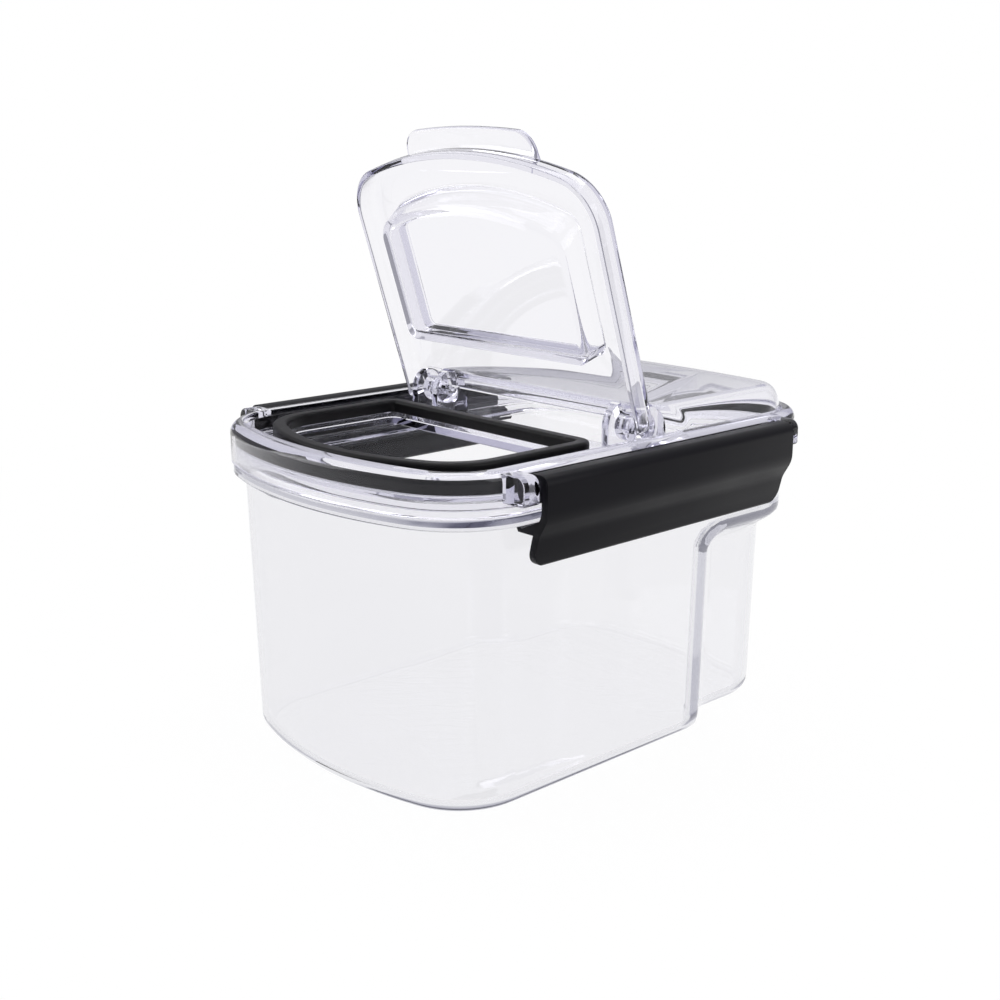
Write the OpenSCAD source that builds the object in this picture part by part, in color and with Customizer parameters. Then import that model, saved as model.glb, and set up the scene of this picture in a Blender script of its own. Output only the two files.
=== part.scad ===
// Dry-food container with a latched lid and a flip-up pouring spout.
// X runs across the container, the spout end faces -Y, and Z is up from the table.

/* [Container] */
// Height of the collar's underside above the table
collar_z = 84.6; // [70:0.2:140]
// How far the wall under the collar sits in from the rim's outer face
wall_in = 3.8; // [3.6:0.1:5]
// Draft of the walls, from the collar down to the base
wall_draft = 1.9; // [0.5:0.1:4]
// Height of the collar
collar_h = 3.4; // [2.5:0.1:5]
// How far the collar stands out from the wall
collar_out = 3.2; // [2.5:0.1:3.6]
// Thickness of the side walls
wall_t = 2.2; // [1.6:0.1:3]
// Thickness of the base
base_t = 2.6; // [2:0.1:4]
// Radius around the bottom edge
base_round = 5; // [3:0.5:7]
// Height of the neck that stands up into the lid
neck_h = 6; // [4.5:0.1:7]
// Wall thickness of the neck
neck_t = 1.5; // [1.2:0.1:1.6]

/* [Grip recesses] */
// Depth of the hand recess in each rear side
grip_in = 9; // [4:0.5:11]
// Length of the recess, from the rear of the rim
grip_l = 57; // [45:1:75]
// Length of the slope at the front of the recess
grip_run = 15; // [8:1:20]
// How far the recess's top edge is below the collar
grip_drop = 16.6; // [12:0.2:40]
// Height of the slope at the top of the recess
grip_rise = 9; // [6:1:14]

/* [Lid] */
// Half width of the lid's rim
lid_half_w = 60.5; // [56:0.5:80]
// Half length of the lid's rim
lid_half_l = 85; // [76:0.5:120]
// Radius of the two front corners
front_corner_r = 30; // [24:1:34]
// Radius of the two rear corners
rear_corner_r = 25; // [20:1:30]
// Radius of the bowed front edge
front_bow_r = 127; // [110:1:200]
// Radius of the bowed rear edge
rear_bow_r = 300; // [200:10:600]
// Height of the rim from its lower edge to its crown
rim_h = 12.2; // [11.8:0.1:13]
// Radius over the crown's outer edge
crown_r = 3.2; // [2:0.1:4]
// Wall thickness of the rim
rim_t = 1.9; // [1.6:0.1:2]
// Thickness of the sealing wall inside the neck
seal_wall_t = 1.8; // [1.4:0.1:2.2]
// How far that sealing wall hangs below the deck
seal_wall_drop = 2.3; // [1.5:0.1:2.6]
// Thickness of the lid's deck
deck_t = 2; // [1.6:0.1:2.4]
// Height of the raised rear deck above the crown
plateau_h = 7.3; // [5:0.1:10]
// Rounding around the top of the raised rear deck
plateau_r = 7.6; // [4:0.1:9]
// Where the raised rear deck starts, behind the hinge line
plateau_back = 2.4; // [2:0.1:6]
// Where the raised rear deck ends, ahead of the rim's rear
plateau_edge = 4.4; // [3.5:0.1:8]
// Width of the crown beside the sunken front deck
side_land = 5.9; // [5.8:0.1:9]
// Width of the crown in front of the sunken front deck
front_land = 6.6; // [6:0.1:12]

/* [Seals] */
// Height of the seal inside the rim
rim_seal_h = 3.9; // [3:0.1:4]
// Width of the deck beside the spout's seal
spout_side = 7.3; // [3:0.1:14]
// Width of the deck in front of the spout's seal
spout_ahead = 3; // [2:0.1:12]
// Rear edge of the spout's seal, ahead of the hinge line
spout_rear = 17.6; // [16.5:0.1:30]
// Width of the spout seal
spout_seal_w = 4.4; // [4:0.1:5]
// Height of the spout seal over its neck
spout_seal_h = 2.6; // [2:0.1:3.2]
// Height of the neck around the spout
spout_neck_h = 3.8; // [3.6:0.1:4.4]
// Wall thickness of the neck around the spout
spout_neck_t = 2.4; // [1.6:0.1:2.8]

/* [Flip cover] */
// Hinge line behind the middle
hinge_y = 7.2; // [6:0.1:9]
// Height of the hinge line above the rim's crown
hinge_up = 1; // [0.8:0.1:2]
// How far the cover stands open, 0 is shut
open_angle = 72.2; // [0:0.1:98]
// Corner radius of the cover
cover_corner_r = 16; // [12:1:20]
// Bow radius of the cover's front edge
cover_bow_r = 150; // [110:5:300]
// Thickness of the cover's plate
cover_t = 2.5; // [2:0.1:3]
// Depth of the cover's skirt below its plate
skirt_h = 5.7; // [4:0.1:5.8]
// Wall thickness of the skirt and the plug
skirt_t = 1.8; // [1.4:0.1:2.2]
// Rounding from the skirt into the plate
cover_round = 4.6; // [3:0.1:5]
// Depth of the plug below the plate
plug_h = 8.6; // [6:0.1:12]
// Gap between each side of the plug and the spout's seal
plug_side_gap = 1.9; // [0.8:0.1:6]
// Gap between the front of the plug and the spout's seal
plug_front_gap = 4.8; // [2.5:0.1:10]
// Gap between the rear of the plug and the spout's seal
plug_rear_gap = 0.7; // [0.5:0.1:4]
// Half width of the finger tab
tab_half_w = 28.5; // [18:0.5:34]
// How far the finger tab stands out ahead of the cover
tab_out = 5.8; // [4:0.1:12]
// Thickness of the finger tab
tab_t = 2; // [1.6:0.1:2.2]

/* [Cover hinge] */
// Inner face of the inner lug, in from the cover's side
lug_in = 15.8; // [15.2:0.1:30]
// Thickness of each lug on the lid
lug_t = 2.8; // [2.2:0.1:2.9]
// Radius of the lugs
lug_r = 6.8; // [6:0.1:7]
// Width of the cover's knuckle
knuckle_w = 7; // [5:0.1:7]
// Radius of the cover's knuckle
knuckle_r = 4.6; // [4:0.1:5]
// Radius of the hinge pins
pin_r = 1.7; // [1.2:0.05:2]

/* [Latches] */
// Half length of each latch
latch_half_l = 52.6; // [40:0.2:52.8]
// How far the latch's face stands out from the rim
latch_out = 9.5; // [9.2:0.1:11]
// How far the latch's pivot stands out from the rim
pivot_out = 4.5; // [4.3:0.1:5]
// Latch pivot below the rim's crown
pivot_drop = 4.5; // [4:0.1:5]
// Radius of the latch barrel
barrel_r = 4; // [3.6:0.1:4]
// Radius of the pivots on the ears
pivot_r = 1.6; // [1.2:0.1:2]
// Length of each pivot
pivot_len = 5; // [3:0.5:8]
// Length of each ear
ear_l = 5.8; // [5:0.1:7]
// How far each ear stands out from the rim
ear_out = 6.9; // [6.6:0.1:7.5]
// Height of each ear
ear_h = 8; // [7:0.1:8]
// Thickness of the latch plate
latch_t = 2.4; // [2:0.1:2.8]
// How far the latch hangs below the collar
latch_drop = 10.6; // [8:0.2:20]
// Radius over the latch's shoulder
shoulder_r = 2.6; // [1.5:0.1:3.4]
// Length of the slope that steps the latch in across its middle
latch_step = 3; // [2:0.1:3.6]
// How far the hook reaches in under the collar
hook_in = 1.9; // [1.2:0.1:2.4]

/* [Fits] */
// Gap between curved parts that meet
gap = 0.3; // [0.25:0.05:0.4]
// Radial clearance of a turning pin
pin_clear = 0.06; // [0.03:0.01:0.1]
// Gap between the shut cover and the recess around it
cover_gap = 0.6; // [0.5:0.05:0.8]
// Gap between the shut cover's plate and the spout seal
seal_gap = 0.3; // [0.25:0.05:0.5]

/* [Hidden] */
$fn = 64;

// Points in each stretch of an outline
bow_steps = 6;
corner_steps = 8;
side_steps = 14;
// Overlap that joins two shapes of one piece
bite = 0.5;
// Gap between a seal and the walls it sits between, and the rounding of its edges
seal_slack = 0.1;
seal_round = 0.5;
// The spout's neck, in from the outer face of its seal
spout_neck_in = 1;

// Heights that follow from the container upwards
grip_top = collar_z - grip_drop;
latch_foot_z = collar_z - latch_drop;
collar_top = collar_z + collar_h;
neck_top = collar_top + neck_h;
rim_z = collar_top + gap;
crown_z = rim_z + rim_h;
hinge_z = crown_z + hinge_up;
hinge_over_plate = 1;
plate_under = hinge_z - hinge_over_plate;
seal_top = plate_under - seal_gap;
spout_neck_top = seal_top - spout_seal_h;
deck_top = spout_neck_top - spout_neck_h;
deck_under = deck_top - deck_t;
plateau_z = crown_z + plateau_h;
pivot_z = crown_z - pivot_drop;
rim_seal_z = neck_top + gap;
channel_top = rim_seal_z + rim_seal_h + gap / 2;

// Insets from the rim's outer face
channel_out = rim_t;
neck_out = rim_t + gap;
neck_in = neck_out + neck_t;
channel_in = neck_in + gap;
seal_wall_in = channel_in + seal_wall_t;
collar_edge = wall_in - collar_out;

// Places along and across, outwards from the hinge line and the middle
grip_y = lid_half_l - grip_l;
cover_half_w = lid_half_w - side_land - cover_gap;
cover_len = lid_half_l - front_land - cover_gap + hinge_y;
tab_len = cover_len + tab_out;
spout_half_w = cover_half_w + cover_gap - spout_side;
spout_front = cover_len + cover_gap - hinge_y - spout_ahead;
spout_back = spout_rear - hinge_y;
plug_half_w = spout_half_w - spout_seal_w - plug_side_gap;
plug_front = spout_front - spout_seal_w - plug_front_gap + hinge_y;
plug_rear = spout_rear + spout_seal_w + plug_rear_gap;
lug_x = cover_half_w - lug_in;
latch_face = lid_half_w + latch_out;
pivot_x = lid_half_w + pivot_out;

// ---- outlines ----
function arc(cx, cy, r, from, to, steps) =
    [for (i = [0:steps])
        let (a = from + (to - from) * i / steps)
        [cx + r * cos(a), cy + r * sin(a)]];

// Where a rounded corner leaves the straight side
function corner_y(w, end, r, bow) = end - bow + sqrt(pow(bow - r, 2) - pow(w - r, 2));
function corner_angle(w, end, r, bow) = atan2(corner_y(w, end, r, bow) - end + bow, w - r);

// Half of one bowed end, from the straight side round to the middle
function bowed_end(w, end, r, bow) =
    let (a = corner_angle(w, end, r, bow))
    concat(arc(w - r, corner_y(w, end, r, bow), r, 0, a, corner_steps),
           [for (i = [1:bow_steps])
               let (b = a + (90 - a) * i / bow_steps)
               [bow * cos(b), end - bow + bow * sin(b)]]);

// Half of one squared end with a rounded corner
function square_end(w, end, r) =
    concat(arc(w - r, end - r, r, 0, 90, corner_steps),
           [for (i = [1:bow_steps]) [(w - r) * (1 - i / bow_steps), end]]);

function reversed(list) = [for (i = [len(list) - 1:-1:0]) list[i]];
function flipped_y(list) = [for (p = list) [p.x, -p.y]];
function mirrored_x(list) = [for (p = list) [-p.x, p.y]];

// Joins a front end and a rear end into one closed outline, front middle first
function outline(front, rear) =
    let (
        f = flipped_y(reversed(front)),
        y0 = f[len(f) - 1].y,
        y1 = rear[0].y,
        side = [for (i = [1:side_steps - 1]) [rear[0].x, y0 + (y1 - y0) * i / side_steps]],
        half = concat(f, side, rear),
        left = mirrored_x(reversed(half)))
    concat(half, [for (i = [1:len(left) - 2]) left[i]]);

// Outline of the rim, moved in from its outer face
function rim_outline(in) =
    outline(bowed_end(lid_half_w - in, lid_half_l - in, front_corner_r - in, front_bow_r - in),
            bowed_end(lid_half_w - in, lid_half_l - in, rear_corner_r - in, rear_bow_r - in));

// Outline of the spout, moved in from the outer face of its seal
spout_corner_r = 21;
spout_bow_r = 78.5;
spout_rear_r = 6;
function spout_outline(in) =
    outline(bowed_end(spout_half_w - in, spout_front - in, spout_corner_r - in, spout_bow_r - in),
            square_end(spout_half_w - in, -spout_back - in, spout_rear_r - in));

// Outline of the flip cover about its hinge line, moved in from its skirt
cover_tail = 1;
cover_tail_r = 0.8;
function cover_outline(in) =
    outline(bowed_end(cover_half_w - in, cover_len - in, cover_corner_r - in, cover_bow_r - in),
            square_end(cover_half_w - in, cover_tail, cover_tail_r));

// Outline of the plug, with its front wall leaning back by lean
plug_corner_r = 7;
plug_bow_r = 108;
plug_rear_r = 4;
function plug_outline(in, lean = 0) =
    outline(bowed_end(plug_half_w - in, plug_front - in - lean, plug_corner_r - in, plug_bow_r - in),
            square_end(plug_half_w - in, -plug_rear - in, plug_rear_r - in));

// Outline of the lid's sunken front, which follows the shut cover
function recess_outline() =
    outline(bowed_end(cover_half_w + cover_gap, cover_len + cover_gap - hinge_y,
                      cover_corner_r + cover_gap, cover_bow_r + cover_gap),
            bowed_end(cover_half_w + cover_gap, lid_half_l - seal_wall_in,
                      rear_corner_r - seal_wall_in, rear_bow_r - seal_wall_in));

// Outline of the raised rear deck
plateau_over = 1;
plateau_half_w = cover_half_w + plateau_over;
plateau_rear = lid_half_l - plateau_edge;
plateau_front = hinge_y + plateau_back;
plateau_front_r = 12;
plateau_rear_r = 20;
// the corners tighten as the outline moves in, down to the flat top's own corners
plateau_front_tighten = 1.1;
plateau_rear_tighten = 1.9;
plateau_tip_r = 1;
plateau_lean = 0.2;
function plateau_outline(in) =
    outline(square_end(plateau_half_w - in, -plateau_front - in * plateau_lean,
                       max(plateau_tip_r, plateau_front_r - in * plateau_front_tighten)),
            bowed_end(plateau_half_w - in, plateau_rear - in,
                      max(plateau_tip_r, plateau_rear_r - in * plateau_rear_tighten), rear_bow_r));

function at_height(list, z) = [for (p = list) [p.x, p.y, z]];

// ---- lofted solids ----
function side_faces(n, from, to) =
    [for (i = [0:n - 1], half = [0:1])
        let (j = (i + 1) % n)
        half == 0 ? [from + i, to + i, to + j] : [from + i, to + j, from + j]];

// Closes an outline with bands from its right side across to its left
function cap_faces(n, from, up) =
    [for (i = [0:n / 2 - 1], half = [0:1])
        let (
            j = (n - i) % n,
            f = half == 0 ? [i, i + 1, n - i - 1] : [i, n - i - 1, j])
        if (f[0] != f[2] && f[1] != f[2] && f[0] != f[1])
            up ? [from + f[2], from + f[1], from + f[0]] : [from + f[0], from + f[1], from + f[2]]];

// A solid through stacked outlines, capped at its first and last one
module capped_loft(rings) {
    n = len(rings[0]);
    last = len(rings) - 1;
    polyhedron(
        points = [for (r = rings, p = r) p],
        faces = concat(
            cap_faces(n, 0, false),
            [for (k = [0:last - 1], f = side_faces(n, k * n, (k + 1) * n)) f],
            cap_faces(n, last * n, true)));
}

// A ring-shaped solid, whose last outline joins its first
module ring_loft(rings) {
    n = len(rings[0]);
    count = len(rings);
    polyhedron(
        points = [for (r = rings, p = r) p],
        faces = [for (k = [0:count - 1], f = side_faces(n, k * n, ((k + 1) % count) * n)) f]);
}

// Joins smooth shapes into one faceted solid, at the size they have
module one_mesh() {
    resize([0, 0, 0]) children();
}

// ---- container ----
// 1 deep inside a grip recess, 0 outside it, and a smooth slope between
function grip(y, z, shift) =
    let (
        u = (y - grip_y + shift) / grip_run,
        v = (grip_top + shift - z) / grip_rise,
        d = 1 - norm([max(0, 1 - u), max(0, 1 - v)]),
        s = min(1, max(0, d)))
    s * s * (3 - 2 * s);

// Outline of the container's wall at one height, moved in by a wall or a rounding.
// The front leans more than the sides, and the rear less.
front_lean = 1.15;
rear_lean = 0.8;
function wall_outline(z, in, shift) =
    let (
        d = wall_in + wall_draft * (1 - z / collar_z) + in,
        w = lid_half_w - d,
        flat = outline(
            bowed_end(w, lid_half_l - d * front_lean, front_corner_r - d, front_bow_r),
            bowed_end(w, lid_half_l - d * rear_lean, rear_corner_r - d, rear_bow_r)))
    [for (p = flat) [p.x * (1 - grip_in / w * grip(p.y, z, shift)), p.y, z]];

// Heights of the wall's outlines, as shares of its own height, closer together where the grips begin
grip_share = grip_top / collar_z;
wall_levels = [0.35, 0.6, grip_share - 0.1, grip_share - 0.07, grip_share - 0.045, grip_share - 0.02,
               grip_share, 0.9];
collar_break = 0.5;
edge_break = 0.4;
module container_body() {
    rounding = [for (a = [0:22.5:90])
        wall_outline(base_round * (1 - cos(a)), base_round * (1 - sin(a)), 0)];
    outside = [for (k = wall_levels) wall_outline(k * collar_z, 0, 0)];
    inner_round = base_round - wall_t;
    inner_rounding = [for (a = [90:-30:0])
        wall_outline(base_t + inner_round * (1 - cos(a)), wall_t + inner_round * (1 - sin(a)), wall_t)];
    inside = [for (k = reversed(wall_levels)) wall_outline(k * collar_z, wall_t, wall_t)];
    flare_z = collar_z + gap;
    color([0.93, 0.93, 0.96, 0.45])
    capped_loft(concat(
        rounding,
        outside,
        [wall_outline(collar_z, 0, 0),
         at_height(rim_outline(collar_edge + collar_break), collar_z),
         at_height(rim_outline(collar_edge), collar_z + collar_break),
         at_height(rim_outline(collar_edge), collar_top - collar_break),
         at_height(rim_outline(collar_edge + collar_break), collar_top),
         at_height(rim_outline(neck_out), collar_top),
         at_height(rim_outline(neck_out), neck_top - edge_break),
         at_height(rim_outline(neck_out + edge_break), neck_top),
         at_height(rim_outline(neck_in - edge_break), neck_top),
         at_height(rim_outline(neck_in), neck_top - edge_break),
         at_height(rim_outline(neck_in), collar_top),
         wall_outline(flare_z, wall_t, wall_t)],
        inside,
        inner_rounding));
}

// ---- lid ----
hole_x = lug_x + lug_t + gap;
outer_lug_x = hole_x + knuckle_w + gap;
hinge_end_x = outer_lug_x + lug_t;
pocket_r = knuckle_r + 0.5;

// Places its child at both hinges, turned along +X
module at_hinge(side, x) {
    translate([side > 0 ? x : -x, hinge_y, hinge_z])
    rotate([0, side * 90, 0])
    children();
}

module rim_and_deck() {
    crown = [for (a = [0:22.5:90])
        at_height(rim_outline(crown_r * (1 - cos(a))), crown_z - crown_r * (1 - sin(a)))];
    ring_loft(concat(
        [at_height(rim_outline(0), rim_z)],
        crown,
        [at_height(recess_outline(), crown_z),
         at_height(recess_outline(), deck_top),
         at_height(spout_outline(spout_neck_in), deck_top),
         at_height(spout_outline(spout_neck_in), spout_neck_top),
         at_height(spout_outline(spout_neck_in + spout_neck_t), spout_neck_top),
         at_height(spout_outline(spout_neck_in + spout_neck_t), deck_under),
         at_height(rim_outline(seal_wall_in), deck_under),
         at_height(rim_outline(seal_wall_in), deck_under - seal_wall_drop),
         at_height(rim_outline(channel_in), deck_under - seal_wall_drop),
         at_height(rim_outline(channel_in), channel_top),
         at_height(rim_outline(channel_out), channel_top),
         at_height(rim_outline(channel_out), rim_z)]));
}

module plateau(in) {
    base_z = in == 0 ? deck_under + bite : deck_under - bite;
    capped_loft(concat(
        [at_height(plateau_outline(in), base_z),
         at_height(plateau_outline(in), plateau_z - in - plateau_r)],
        [for (a = [22.5:22.5:90])
            at_height(plateau_outline(in + plateau_r * (1 - cos(a))),
                      plateau_z - in - plateau_r * (1 - sin(a)))]));
}

// Solid corner that carries the lugs of one hinge and closes the pocket behind the knuckle
module hinge_block(side) {
    back = pocket_r + deck_t;
    translate([side > 0 ? lug_x : -hinge_end_x, hinge_y, deck_under])
    cube([hinge_end_x - lug_x, back, plateau_z - deck_under]);
}

module lug(side, x) {
    at_hinge(side, x) cylinder(h = lug_t, r = lug_r);
    translate([side > 0 ? x : -x - lug_t, hinge_y - lug_r, deck_top - bite])
    cube([lug_t, 2 * lug_r, hinge_z - deck_top + bite]);
}

// Outer face of the rim at a distance from the middle, at the front or the rear
function rim_x(y, r, bow) =
    let (c = corner_y(lid_half_w, lid_half_l, r, bow))
    y <= c ? lid_half_w : lid_half_w - r + sqrt(pow(r, 2) - pow(y - c, 2));

// Section of an ear, in X and Z about the height of its pivot
ear_round = 3;
ear_foot_round = 1.2;
module ear_section() {
    x = lid_half_w + ear_out;
    h = ear_h / 2;
    polygon(concat(
        arc(x - ear_foot_round, ear_foot_round - h, ear_foot_round, -90, 0, 4),
        arc(x - ear_round, h - ear_round, ear_round, 0, 90, 8),
        [[0, h], [0, -h]]));
}

// One ear on the right at the end of a latch, with the pivot that the latch turns on
module ear_right(end) {
    start = latch_half_l + gap;
    steps = 4;
    corner = end < 0 ? front_corner_r : rear_corner_r;
    bow = end < 0 ? front_bow_r : rear_bow_r;
    translate([pivot_x, end * (start + bite), pivot_z])
    rotate([end * 90, 0, 0])
    cylinder(h = pivot_len + bite, r = pivot_r);
    intersection() {
        translate([0, 0, pivot_z])
        rotate([90, 0, 0])
        linear_extrude(2 * lid_half_l, center = true)
        ear_section();
        // plan from the ear's outer face into the rim's wall, which follows its corner
        translate([0, 0, pivot_z - ear_h])
        linear_extrude(2 * ear_h)
        polygon(concat(
            [[lid_half_w + ear_out + bite, end * start],
             [lid_half_w + ear_out + bite, end * (start + ear_l)]],
            [for (k = [steps:-1:0])
                let (y = start + ear_l * k / steps)
                [rim_x(y, corner, bow) - 2 * bite, end * y]]));
    }
}

module ears(side) {
    mirror([side < 0 ? 1 : 0, 0, 0]) {
        ear_right(1);
        ear_right(-1);
    }
}

// The lid's smooth shell
module lid_shell() {
    one_mesh()
    difference() {
        union() {
            rim_and_deck();
            plateau(0);
        }
        difference() {
            plateau(deck_t);
            hinge_block(1);
            hinge_block(-1);
        }
    }
}

module lid() {
    color([0.9, 0.9, 0.95, 0.5])
    difference() {
        union() {
            lid_shell();
            for (side = [-1, 1]) {
                lug(side, lug_x);
                lug(side, outer_lug_x);
                ears(side);
            }
        }
        for (side = [-1, 1]) {
            // room for the cover's knuckle and arm
            at_hinge(side, hole_x - gap) cylinder(h = knuckle_w + 2 * gap, r = pocket_r);
            translate([side > 0 ? hole_x - gap : -outer_lug_x, hinge_y - pocket_r, hinge_z])
            cube([knuckle_w + 2 * gap, 2 * pocket_r, plateau_z]);
            // bore for the pin
            at_hinge(side, lug_x - bite) cylinder(h = hinge_end_x - lug_x + 2 * bite, r = pin_r);
        }
    }
}

// A pin's ends lie a little under the faces of the lugs
pin_sunk = 0.4;
module hinge_pin(side) {
    color([0.8, 0.8, 0.84])
    at_hinge(side, lug_x + pin_sunk)
    cylinder(h = hinge_end_x - lug_x - 2 * pin_sunk, r = pin_r);
}

module hinge_pin_left() { hinge_pin(-1); }
module hinge_pin_right() { hinge_pin(1); }

// ---- seals ----
module rim_gasket() {
    a = channel_out + seal_slack;
    b = channel_in - seal_slack;
    top = rim_seal_z + rim_seal_h;
    low = rim_seal_z + seal_round;
    color([0.12, 0.12, 0.13])
    ring_loft([
        at_height(rim_outline(a), low),
        at_height(rim_outline(a), top),
        at_height(rim_outline(b), top),
        at_height(rim_outline(b), low),
        at_height(rim_outline(b - seal_round), rim_seal_z),
        at_height(rim_outline(a + seal_round), rim_seal_z)]);
}

// The spout's seal sits over the neck like a cap, with a long skirt inside
module spout_gasket() {
    w = spout_seal_w;
    a = spout_neck_in - seal_slack;
    b = spout_neck_in + spout_neck_t + seal_slack;
    outer_skirt = spout_neck_top - a;
    inner_skirt = deck_top + seal_round;
    color([0.1, 0.1, 0.11])
    ring_loft([
        at_height(spout_outline(0), outer_skirt),
        at_height(spout_outline(0), seal_top - 2 * seal_round),
        at_height(spout_outline(seal_round), seal_top - seal_round / 2),
        at_height(spout_outline(2.5 * seal_round), seal_top),
        at_height(spout_outline(w - 2.5 * seal_round), seal_top),
        at_height(spout_outline(w - seal_round), seal_top - seal_round / 2),
        at_height(spout_outline(w), seal_top - 2 * seal_round),
        at_height(spout_outline(w), inner_skirt),
        at_height(spout_outline(b), inner_skirt),
        at_height(spout_outline(b), spout_neck_top),
        at_height(spout_outline(a), spout_neck_top),
        at_height(spout_outline(a), outer_skirt)]);
}

// ---- flip cover ----
// Drawn shut, about its own hinge line, with the front towards -Y
plug_lean = 4;
plug_edge_r = 1.2;
root_r = 0.8;
edge_flatness = 0.7;
module cover_shell() {
    under = -hinge_over_plate;
    top = under + cover_t;
    lip = under - skirt_h;
    low_lean = plug_lean * (1 - plug_edge_r / plug_h);
    edge = [for (a = [0:18:90])
        at_height(cover_outline(cover_round * (1 - cos(a))),
                  top - cover_round * edge_flatness * (1 - sin(a)))];
    capped_loft(concat(
        [at_height(plug_outline(plug_edge_r, plug_lean), under - plug_h),
         at_height(plug_outline(0, low_lean), under - plug_h + plug_edge_r),
         at_height(plug_outline(0), under),
         at_height(cover_outline(skirt_t + root_r), under),
         at_height(cover_outline(skirt_t), under - root_r),
         at_height(cover_outline(skirt_t), lip),
         at_height(cover_outline(0), lip)],
        edge,
        [at_height(plug_outline(skirt_t), top),
         at_height(plug_outline(skirt_t, low_lean), under - plug_h + cover_t)]));
}

tab_corner_r = 7;
tab_bow_r = 250;
tab_root = 8;
tab_flare = 1;
module finger_tab() {
    root = cover_len - tab_root;
    front = flipped_y(reversed(bowed_end(tab_half_w, tab_len, tab_corner_r, tab_bow_r)));
    half = concat(front, [[tab_half_w + tab_flare, -root]]);
    translate([0, 0, cover_t - hinge_over_plate - tab_t])
    linear_extrude(tab_t)
    polygon(concat(half, mirrored_x(reversed(half))));
}

// The cover's smooth shell, cut back at its tail to clear the lugs
module cut_cover_shell(notch) {
    tail = 2;
    clear = 2;
    one_mesh()
    difference() {
        union() {
            cover_shell();
            finger_tab();
        }
        // open tail between the two side skirts
        translate([-hinge_end_x - gap, -notch, -hinge_over_plate - skirt_h - clear])
        cube([2 * (hinge_end_x + gap), notch + clear, skirt_h + clear]);
        for (side = [-1, 1]) {
            translate([side > 0 ? lug_x - gap : -hinge_end_x - gap, -notch, -clear])
            cube([hinge_end_x - lug_x + 2 * gap, notch + 2 * clear, cover_t + 2 * clear]);
        }
        translate([-lug_x, -tail, -clear]) cube([2 * lug_x, tail + clear, cover_t + 2 * clear]);
    }
}

module spout_cover() {
    notch = lug_r + gap;
    color([0.9, 0.9, 0.95, 0.5])
    translate([0, hinge_y, hinge_z])
    rotate([-open_angle, 0, 0])
    difference() {
        union() {
            cut_cover_shell(notch);
            for (side = [-1, 1]) {
                x0 = side > 0 ? hole_x : -hole_x - knuckle_w;
                translate([x0, 0, 0]) rotate([0, 90, 0]) cylinder(h = knuckle_w, r = knuckle_r);
                translate([x0, -notch - bite, -hinge_over_plate])
                cube([knuckle_w, notch + bite, cover_t]);
            }
        }
        for (side = [-1, 1])
            translate([side > 0 ? hole_x - bite : -hole_x - knuckle_w - bite, 0, 0])
            rotate([0, 90, 0])
            cylinder(h = knuckle_w + 2 * bite, r = pin_r + pin_clear);
    }
}

// ---- latches ----
// Section across the right latch, in X and Z about its pivot
latch_bend = 31;
latch_flare = 12;
latch_bend_z = -5.5;
bend_r = 8;
hook_t = 1.2;
hook_rise = 3.1;
module latch_section() {
    face = latch_face - pivot_x;
    foot = latch_foot_z - pivot_z;
    t = latch_t;
    // the face bends in, steps in across the middle, then runs down to the foot
    bend_z = latch_bend_z;
    step = [face - bend_r + bend_r * cos(latch_bend), bend_z - bend_r * sin(latch_bend)]
        + latch_step * [-sin(latch_bend), -cos(latch_bend)];
    hollow = step + bend_r * [cos(latch_bend), -sin(latch_bend)];
    toe = hollow + bend_r * [-cos(latch_flare), sin(latch_flare)];
    run = toe.y - foot;
    toe_x = toe.x - run * tan(latch_flare);
    polygon(concat(
        arc(0, 0, barrel_r, 360 - acos((face - t) / barrel_r), 90, 24),
        arc(face - shoulder_r, barrel_r - shoulder_r, shoulder_r, 90, 0, 6),
        arc(face - bend_r, bend_z, bend_r, 0, -latch_bend, 4),
        arc(hollow.x, hollow.y, bend_r, 180 - latch_bend, 180 - latch_flare, 4),
        arc(toe_x - t / 2, foot + t / 2, t / 2, 0, -180, 8),
        arc(hollow.x, hollow.y, bend_r + t, 180 - latch_flare, 180 - latch_bend, 4),
        arc(face - bend_r, bend_z, bend_r - t, -latch_bend, 0, 4)));
    collar_x = lid_half_w - collar_edge - pivot_x;
    hook_z = collar_z - gap - pivot_z;
    polygon([
        [collar_x - hook_in, hook_z],
        [collar_x + bite, hook_z],
        [step.x - bite, hook_z + hook_rise],
        [step.x - t / 2, hook_z - hook_t],
        [collar_x - hook_in + hook_t / 2, hook_z - hook_t]]);
}

latch_corner_r = 4.6;
module latch_blank() {
    corner = latch_corner_r;
    top = pivot_z + barrel_r + 1;
    depth = 2 * (latch_face - pivot_x + barrel_r);
    difference() {
        intersection() {
            translate([pivot_x, latch_half_l + 1, pivot_z])
            rotate([90, 0, 0])
            linear_extrude(2 * latch_half_l + 2)
            latch_section();
            // rounds the two lower corners
            translate([pivot_x - depth / 2, 0, 0])
            rotate([90, 0, 90])
            linear_extrude(depth)
            polygon(concat(
                [[latch_half_l, top], [-latch_half_l, top]],
                arc(corner - latch_half_l, latch_foot_z + corner, corner, 180, 270, 8),
                arc(latch_half_l - corner, latch_foot_z + corner, corner, 270, 360, 8)));
        }
        for (end = [-1, 1])
            translate([pivot_x, end * (latch_half_l + 1), pivot_z])
            rotate([end * 90, 0, 0])
            cylinder(h = pivot_len + 1 + 2 * gap, r = pivot_r + pin_clear);
    }
}

module latch_right() { color([0.14, 0.14, 0.15]) latch_blank(); }
module latch_left() { color([0.14, 0.14, 0.15]) mirror([1, 0, 0]) latch_blank(); }

container_body();
lid();
rim_gasket();
spout_gasket();
spout_cover();
hinge_pin_left();
hinge_pin_right();
latch_left();
latch_right();
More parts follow.
